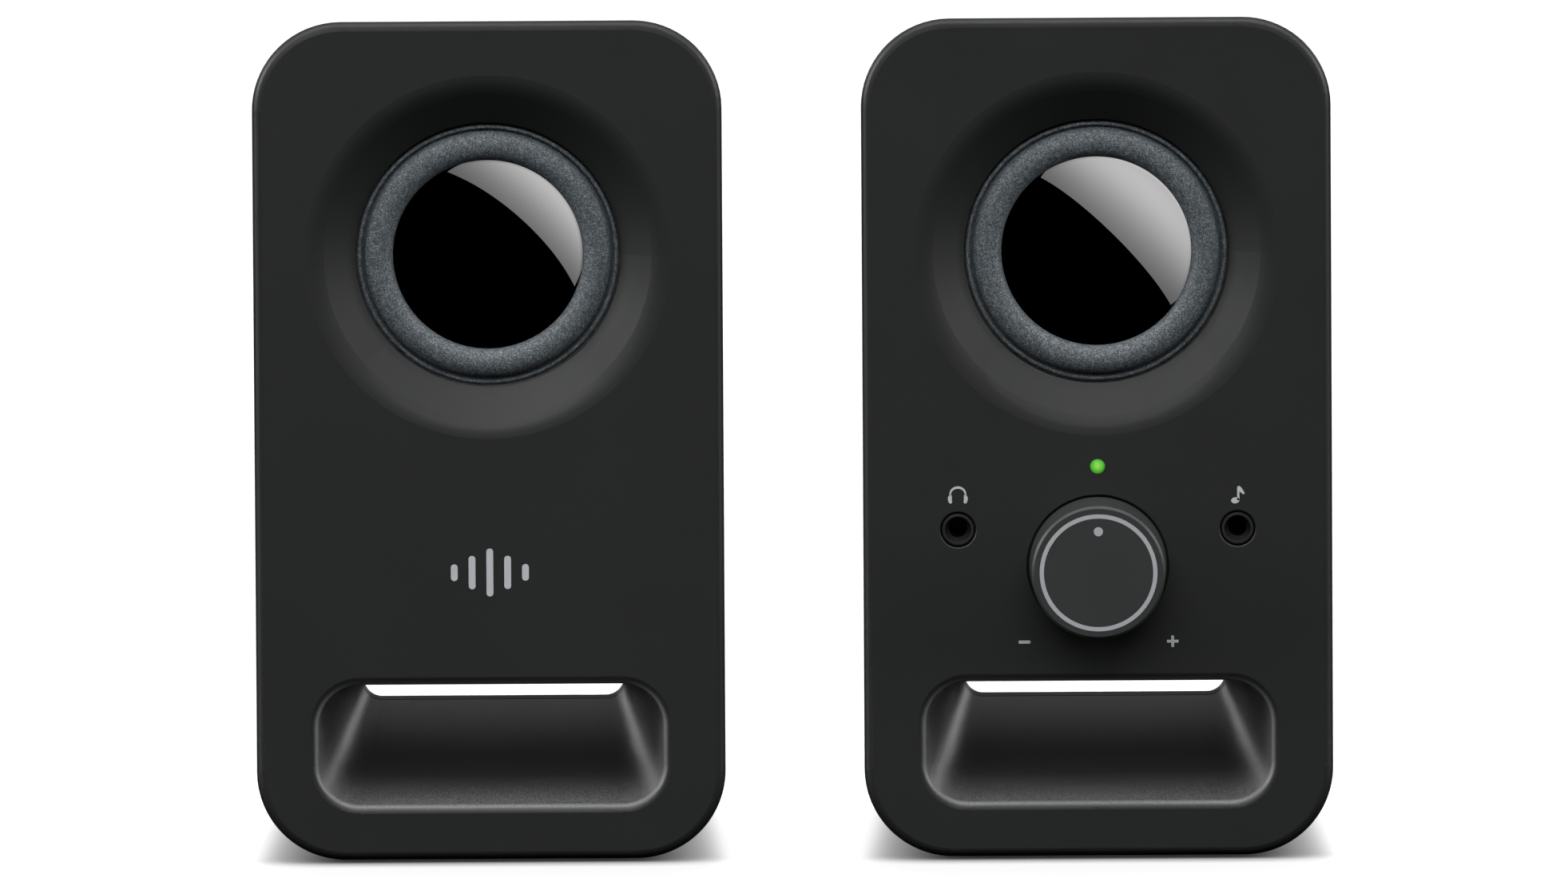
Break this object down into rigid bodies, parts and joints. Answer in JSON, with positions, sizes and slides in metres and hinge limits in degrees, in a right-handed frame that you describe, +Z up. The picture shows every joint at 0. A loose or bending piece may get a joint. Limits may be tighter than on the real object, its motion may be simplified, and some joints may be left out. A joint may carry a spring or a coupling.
{
  "type": "desktop speaker pair",
  "caption": "Compact desktop speaker pair: a passive left unit and an amplified right unit with volume knob, front jacks and a through slot under each driver.",
  "frame": {"origin": "centre of the pair's bounding box in X and Y, on the surface the rubber feet stand on", "axes": "+Z up, fronts face -Y, +X to the right as a listener sees the pair"},
  "size_m": [0.2058, 0.0974, 0.1617],
  "materials": {
    "panel_plastic": "fine-textured matt black",
    "shell_plastic": "fine-textured matt black",
    "dome_gloss": "polished black",
    "surround_rubber": "grained bluish grey",
    "knob_plastic": "satin black",
    "print_grey": "printed light grey",
    "led_lens": "translucent green",
    "foot_rubber": "matt",
    "gasket_foam": "closed-cell foam",
    "steel_zinc": "zinc-plated",
    "ferrite": "sintered, dull",
    "coil_aluminium": "foil",
    "coil_copper": "enamelled winding",
    "spider_cloth": "impregnated cloth",
    "brass": "tinned brass",
    "nickel": "nickel-plated",
    "socket_insert": "moulded",
    "jack_plastic": "moulded black",
    "board_laminate": "solder mask",
    "sink_aluminium": "extruded",
    "capacitor_sleeve": "printed-free sleeve",
    "lead_jacket": "flexible jacket"
  },
  "bodies": {
    "right_speaker": {"amplifier_board": "board_laminate", "amplifier_chip": "jack_plastic", "aux_jack": "jack_plastic", "board_harness": "lead_jacket", "board_headers": "jack_plastic", "board_screws": "steel_zinc", "capacitors": "capacitor_sleeve", "dc_inlet": "jack_plastic", "dc_inlet_pin": "brass", "headphone_jack": "jack_plastic", "heat_sink": "sink_aluminium", "led_light_pipe": "led_lens", "line_in_jack": "jack_plastic", "power_led": "led_lens", "rear_board": "board_laminate", "rear_board_screws": "steel_zinc", "right_case_screws": "steel_zinc", "right_driver_basket": "steel_zinc", "right_driver_gasket": "gasket_foam", "right_driver_leads": "lead_jacket", "right_driver_magnet": "ferrite", "right_driver_screws": "steel_zinc", "right_driver_terminals": "brass", "right_driver_top_plate": "steel_zinc", "right_driver_yoke": "steel_zinc", "right_front_panel": "panel_plastic", "right_rear_shell": "shell_plastic", "right_rubber_feet": "foot_rubber", "right_spider": "spider_cloth", "right_surround": "surround_rubber", "speaker_out_insert": "socket_insert", "speaker_out_nut": "nickel", "speaker_out_socket": "nickel", "volume_pot_housing": "steel_zinc", "volume_pot_nut": "steel_zinc"},
    "left_speaker": {"left_case_screws": "steel_zinc", "left_driver_basket": "steel_zinc", "left_driver_gasket": "gasket_foam", "left_driver_leads": "lead_jacket", "left_driver_magnet": "ferrite", "left_driver_screws": "steel_zinc", "left_driver_terminals": "brass", "left_driver_top_plate": "steel_zinc", "left_driver_yoke": "steel_zinc", "left_front_panel": "panel_plastic", "left_input_insert": "socket_insert", "left_input_nut": "nickel", "left_input_socket": "nickel", "left_rear_shell": "shell_plastic", "left_rubber_feet": "foot_rubber", "left_spider": "spider_cloth", "left_surround": "surround_rubber"},
    "volume_knob": {"volume_knob": "knob_plastic", "volume_pot_shaft": "steel_zinc"},
    "right_cone": {"right_dome": "dome_gloss", "right_coil_former": "coil_aluminium", "right_coil_winding": "coil_copper"},
    "left_cone": {"left_dome": "dome_gloss", "left_coil_former": "coil_aluminium", "left_coil_winding": "coil_copper"}
  },
  "joints": [
    {"name": "left_speaker_spacing", "type": "slide", "parent": "right_speaker", "child": "left_speaker", "axis": [-1, 0, 0], "range_m": [0, 0.5]},
    {"name": "volume_turn", "type": "hinge", "parent": "right_speaker", "child": "volume_knob", "pos_m": [0.05808, 0, 0.0567], "axis": [0, 1, 0], "range_deg": [-140, 140]},
    {"name": "right_cone_travel", "type": "slide", "parent": "right_speaker", "child": "right_cone", "axis": [0, -1, 0], "range_m": [-0.0015, 0.0015], "stiffness_N_per_m": 500, "deforming": ["right_surround", "right_spider"]},
    {"name": "left_cone_travel", "type": "slide", "parent": "left_speaker", "child": "left_cone", "axis": [0, -1, 0], "range_m": [-0.0015, 0.0015], "stiffness_N_per_m": 500, "deforming": ["left_surround", "left_spider"]}
  ]
}
